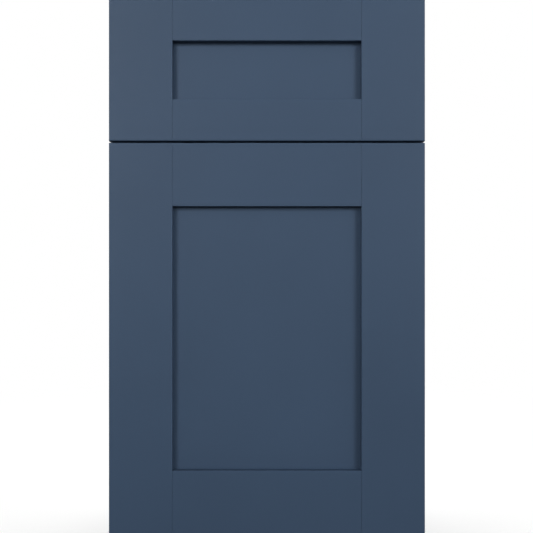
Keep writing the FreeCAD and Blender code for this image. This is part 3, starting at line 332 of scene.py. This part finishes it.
# --- Dowels -------------------------------------------------------------------------------------
# Fluted beech dowels glued into the ends of the boards and into the sides. They lie along X and
# are left bare; beech shows short dark flecks along its grain.

beech, tree, shader, place = new_finish("bare_beech")
streak = clouds(tree, place, 0.0008, (9, 1, 1), detail=3.0)
tree.links.new(two_tone(tree, ranged(tree, streak, 0.0, 1.0), (0.50, 0.30, 0.17, 1),
                        (0.62, 0.41, 0.25, 1)), shader.inputs["Base Color"])
tree.links.new(ranged(tree, streak, 0.55, 0.70), shader.inputs["Roughness"])
flute_grain = link_node(tree, "Bump", {"Strength": 0.4, "Distance": 0.0001, "Height": streak})
tree.links.new(flute_grain.outputs["Normal"], shader.inputs["Normal"])
coat(beech, "carcass_dowels")


# --- Drawer slides ------------------------------------------------------------------------------
# One ball-bearing slide each side: an outer, a middle and an inner member of roll-formed steel
# strip, zinc plated, with two punched ball cages. The rolls leave fine lines along the strip.

def plated_steel(name, dull, bright, low_gloss, high_gloss, run, line_depth):
    """Plated steel: cloudy plate with fine marks, drawn out into lines where `run` is long."""
    finish, tree, shader, place = new_finish(name)
    bloom = clouds(tree, place, 0.018, detail=4.0)
    tree.links.new(two_tone(tree, ranged(tree, bloom, 0.0, 1.0), dull, bright),
                   shader.inputs["Base Color"])
    lines = clouds(tree, place, 0.0007, run, detail=2.0)
    polish = link_node(tree, "Math", {0: ranged(tree, lines, low_gloss, high_gloss),
                                      1: ranged(tree, bloom, -0.04, 0.04)}, operation="ADD")
    tree.links.new(polish.outputs[0], shader.inputs["Roughness"])
    shader.inputs["Metallic"].default_value = 1.0
    drawn = link_node(tree, "Bump", {"Strength": 0.3, "Distance": line_depth, "Height": lines})
    tree.links.new(drawn.outputs["Normal"], shader.inputs["Normal"])
    return finish


zinc_strip = plated_steel("zinc_strip", (0.60, 0.63, 0.66, 1), (0.70, 0.73, 0.76, 1),
                          low_gloss=0.26, high_gloss=0.34, run=(1, 60, 1), line_depth=0.000012)
zinc_cage = plated_steel("zinc_cage", (0.42, 0.44, 0.46, 1), (0.56, 0.58, 0.60, 1),
                         low_gloss=0.30, high_gloss=0.42, run=(1, 20, 1), line_depth=0.00003)
coat(zinc_strip, "left_slide_outer_member", "left_slide_middle_member",
     "left_slide_inner_member", "right_slide_outer_member", "right_slide_middle_member",
     "right_slide_inner_member")
coat(zinc_cage, "outer_ball_cages", "inner_ball_cages")

# The balls are hardened and polished, with a film of grease that dulls them in patches.
polished_ball, tree, shader, place = new_finish("polished_ball")
film = clouds(tree, place, 0.0012, detail=2.0)
tree.links.new(two_tone(tree, film, (0.62, 0.62, 0.60, 1), (0.78, 0.79, 0.80, 1)),
               shader.inputs["Base Color"])
tree.links.new(ranged(tree, film, 0.06, 0.16), shader.inputs["Roughness"])
shader.inputs["Metallic"].default_value = 1.0
coat(polished_ball, "outer_slide_balls", "inner_slide_balls")


# --- Door hinges --------------------------------------------------------------------------------
# Two concealed cup hinges: plate, arm, bent link and cup pressed from steel sheet and nickel
# plated, tumbled to a satin before plating, so the surface has no direction.

satin_nickel = plated_steel("satin_nickel", (0.56, 0.54, 0.50, 1), (0.70, 0.68, 0.64, 1),
                            low_gloss=0.26, high_gloss=0.32, run=(1, 1, 1), line_depth=0.000002)
turned_nickel = plated_steel("turned_nickel", (0.58, 0.56, 0.52, 1), (0.72, 0.70, 0.66, 1),
                             low_gloss=0.16, high_gloss=0.26, run=(1, 1, 12), line_depth=0.00001)
coat(satin_nickel, "upper_hinge_plate", "lower_hinge_plate", "upper_hinge_arm",
     "lower_hinge_arm", "upper_hinge_link", "lower_hinge_link", "upper_hinge_cup",
     "lower_hinge_cup")
coat(turned_nickel, "arm_pins", "cup_pins")


# --- Screws -------------------------------------------------------------------------------------
# Zinc-plated steel screws with a cross recess: pan heads on the slides, the hinge plates and the
# drawer front, thin flat heads on the cups. A machine screw clamps each hinge arm to its plate.

def lots_in(node, own_axis):
    """The lowest and highest corners of each screw, pin or pad that one CAD node holds.

    Along each axis a new one begins wherever the node's points, in order, leave a wide gap."""
    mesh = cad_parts[node].data
    points = np.zeros(3 * len(mesh.vertices), np.float32)
    mesh.vertices.foreach_get("co", points)
    points = points.reshape(-1, 3).astype(float)
    rank = np.zeros(points.shape, int)
    gap_along, gap_across = 0.05, 0.015
    for axis in range(3):
        order = np.argsort(points[:, axis])
        gap = gap_along if axis == own_axis else gap_across
        steps = np.diff(points[order, axis]) > gap
        rank[order, axis] = np.concatenate([[0], np.cumsum(steps)])
    which = np.unique(rank, axis=0, return_inverse=True)[1].ravel()
    lows = np.full((which.max() + 1, 3), np.inf)
    highs = -lows
    np.minimum.at(lows, which, points)
    np.maximum.at(highs, which, points)
    return lows, highs


def turned_set(name, node, body, finish, own_axis, heading, shape):
    """Stands a turned shape in for every screw, pin or pad of a CAD node.

    heading is +1 or -1 along the axis, or "out" or "in" for pieces on both sides. shape(length)
    gives distances along the piece from its near end and radii, as arrays of rings by spokes,
    and the distances of the points that close its two ends. Each ring's point is
    start + distance * heading + radius * (cos(turn) * u + sin(turn) * v)."""
    lows, highs = lots_in(node, own_axis)
    middles = (lows + highs) / 2
    sides = np.sign(middles[:, own_axis])
    signs = {"out": sides, "in": -sides}.get(heading, np.full(len(sides), heading))
    length = (highs - lows)[0, own_axis]
    along, radius, near_end, far_end = shape(length)
    rings, spokes = radius.shape

    towards = np.zeros((len(signs), 3))
    towards[:, own_axis] = signs
    u = np.roll(np.eye(3)[own_axis], 1)
    v = np.cross(towards, u)
    starts = middles - towards * length / 2
    turn = np.linspace(0, 2 * np.pi, spokes, endpoint=False)
    round_u = (radius * np.cos(turn))[None, :, :, None] * u
    round_v = (radius * np.sin(turn))[None, :, :, None] * v[:, None, None, :]
    walls = (starts[:, None, None, :] + along[None, :, :, None] * towards[:, None, None, :]
             + round_u + round_v).reshape(len(signs), -1, 3)
    ends = starts[:, None, :] + np.array([near_end, far_end])[None, :, None] * towards[:, None, :]
    points = np.concatenate([walls, ends], axis=1)

    spoke = np.arange(spokes)
    following = (spoke + 1) % spokes
    ring = (np.arange(rings - 1) * spokes)[:, None]
    quads = np.stack([ring + spoke, ring + following, ring + spokes + following,
                      ring + spokes + spoke], axis=-1).reshape(-1, 4)
    near, far, last = rings * spokes, rings * spokes + 1, (rings - 1) * spokes
    near_fan = np.stack([np.full(spokes, near), following, spoke], axis=-1)
    far_fan = np.stack([last + spoke, last + following, np.full(spokes, far)], axis=-1)
    offset = (np.arange(len(signs)) * points.shape[1])[:, None, None]
    faces = ((quads + offset).reshape(-1, 4).tolist() + (near_fan + offset).reshape(-1, 3).tolist()
             + (far_fan + offset).reshape(-1, 3).tolist())
    made = put_mesh(name, points, faces, finish)
    made.data.set_sharp_from_angle(angle=np.radians(35))
    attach(made, body)
    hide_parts(node)


def cross_head_screw(head_height, pitch, point_length):
    """A screw as rings of radii: cross recess, crowned head, and a thread wound on a core.

    The recess's edge lies at the lesser of the wing's reach and its half-width divided by the
    lesser of |sin| and |cos|.
    The thread stands out from the core as a ridge where distance / pitch + turn is a half."""
    spokes = 24
    head_radius, shank_radius, core_radius = 0.00335, 0.00148, 0.0011
    wing_reach, wing_half_width = 0.0019, 0.00042
    recess_depth = 0.62 * head_height
    crown = 0.3 * head_height
    turn = np.linspace(0, 2 * np.pi, spokes, endpoint=False) + 0.5 * np.pi / spokes
    narrow = np.minimum(np.abs(np.sin(turn)), np.abs(np.cos(turn)))
    cross = np.minimum(wing_reach, wing_half_width / np.maximum(narrow, 1e-6))

    def shape(length):
        floor_share = np.array([0.45, 0.86, 1.0])[:, None]
        floor_depth = np.array([1.0, 0.9, 0.0])[:, None] * recess_depth
        recess = floor_share * cross
        recess_at = crown * (recess / head_radius) ** 4 + floor_depth
        head = cross + (head_radius - cross) * np.array([0.15, 0.5, 0.8, 0.94, 1.0])[:, None]
        head_at = crown * (head / head_radius) ** 4
        under = np.array([head_radius, shank_radius])[:, None] + 0 * turn
        under_at = np.full(under.shape, head_height)
        thread_at = np.arange(head_height + pitch / 4, length - point_length, pitch / 4)[:, None]
        wound = (thread_at / pitch + turn / (2 * np.pi)) % 1.0
        ridge = np.clip(1 - 4 * np.abs(wound - 0.5), 0, 1)
        thread = core_radius + (shank_radius - core_radius) * ridge
        tip_share = np.array([0.5, 0.1])[:, None]
        tip = core_radius * tip_share + 0 * turn
        tip_at = length - point_length * tip_share + 0 * turn
        along = np.concatenate([recess_at, head_at, under_at, thread_at + 0 * turn, tip_at])
        radius = np.concatenate([recess, head, under, thread, tip])
        return along, radius, recess_depth, length

    return shape


zinc_screw = plated_steel("zinc_screw", (0.56, 0.58, 0.60, 1), (0.72, 0.74, 0.76, 1),
                          low_gloss=0.20, high_gloss=0.32, run=(1, 1, 1), line_depth=0.00001)
pan_head = cross_head_screw(head_height=0.0016, pitch=0.0013, point_length=0.003)
flat_head = cross_head_screw(head_height=0.0006, pitch=0.0013, point_length=0.003)
clamp_head = cross_head_screw(head_height=0.0016, pitch=0.0008, point_length=0.0008)
X_AXIS, Y_AXIS = 0, 1
turned_set("outer_slide_screw_set", "outer_slide_screws", "cabinet", zinc_screw,
           X_AXIS, "out", pan_head)
turned_set("inner_slide_screw_set", "inner_slide_screws", "drawer", zinc_screw,
           X_AXIS, "in", pan_head)
turned_set("drawer_front_screw_set", "drawer_front_screws", "drawer", zinc_screw,
           Y_AXIS, -1, pan_head)
turned_set("cup_screw_set", "cup_screws", "door", zinc_screw,
           Y_AXIS, -1, flat_head)
turned_set("hinge_plate_screw_set", "hinge_plate_screws", "cabinet", zinc_screw,
           X_AXIS, -1, pan_head)
turned_set("hinge_arm_screw_set", "hinge_arm_screws", "cabinet", zinc_screw,
           X_AXIS, -1, clamp_head)


# --- Shelf pins ---------------------------------------------------------------------------------
# Four turned steel pins, nickel plated, pushed into the rows of holes in the sides. The shelf
# lies on their thicker ends, which have rounded noses and a shallow groove.

def shelf_pin(length):
    """A pin as rings of radii: nose, thick end with a groove, then the part in the hole.

    The nose is a quarter turn: radius R - r + r sin(angle), distance r - r cos(angle)."""
    spokes = 32
    thick, thin, thick_length, nose, chamfer = 0.0035, 0.00245, 0.008, 0.0009, 0.0006
    groove_depth = 0.0003
    angle = np.linspace(0.0, np.pi / 2, 6)
    outline = np.concatenate([
        np.stack([nose - nose * np.cos(angle), thick - nose + nose * np.sin(angle)], axis=-1),
        [[0.0030, thick], [0.0033, thick - groove_depth], [0.0039, thick - groove_depth],
         [0.0042, thick],
         [thick_length, thick], [thick_length, thin], [length - chamfer, thin],
         [length, thin - chamfer]]])
    flat = np.zeros(spokes)
    return outline[:, :1] + flat, outline[:, 1:] + flat, 0.0, length


turned_set("shelf_pin_set", "shelf_pins", "cabinet", turned_nickel,
           X_AXIS, "out", shelf_pin)


# --- Bumper pads --------------------------------------------------------------------------------
# Clear grey polyurethane domes, stuck by their flat faces to the backs of the fronts, that meet
# the box first when a front is closed.

def dome_pad(length):
    """A dome as rings of radii: a short straight wall, then a quarter ellipse to the top."""
    spokes = 40
    radius, wall = 0.004, 0.0004
    angle = np.linspace(0.0, 0.47 * np.pi, 9)  # stops just short of the pole
    outline = np.concatenate([
        [[0.0, 0.5 * radius], [0.0, 0.96 * radius], [0.0001, radius]],
        np.stack([wall + (length - wall) * np.sin(angle), radius * np.cos(angle)], axis=-1)])
    flat = np.zeros(spokes)
    return outline[:, :1] + flat, outline[:, 1:] + flat, 0.0, length


clear_pad, tree, shader, place = new_finish("clear_pad")
haze = clouds(tree, place, 0.002, detail=2.0)
tree.links.new(two_tone(tree, haze, (0.60, 0.62, 0.62, 1), (0.74, 0.76, 0.76, 1)),
               shader.inputs["Base Color"])
tree.links.new(ranged(tree, haze, 0.22, 0.34), shader.inputs["Roughness"])
shader.inputs["Transmission Weight"].default_value = 0.35
shader.inputs["IOR"].default_value = 1.49
skin = link_node(tree, "Bump", {"Strength": 0.2, "Distance": 0.00003, "Height": haze})
tree.links.new(skin.outputs["Normal"], shader.inputs["Normal"])
turned_set("door_bumper_set", "door_bumpers", "door", clear_pad,
           Y_AXIS, 1, dome_pad)
turned_set("drawer_bumper_set", "drawer_bumpers", "drawer", clear_pad,
           Y_AXIS, 1, dome_pad)
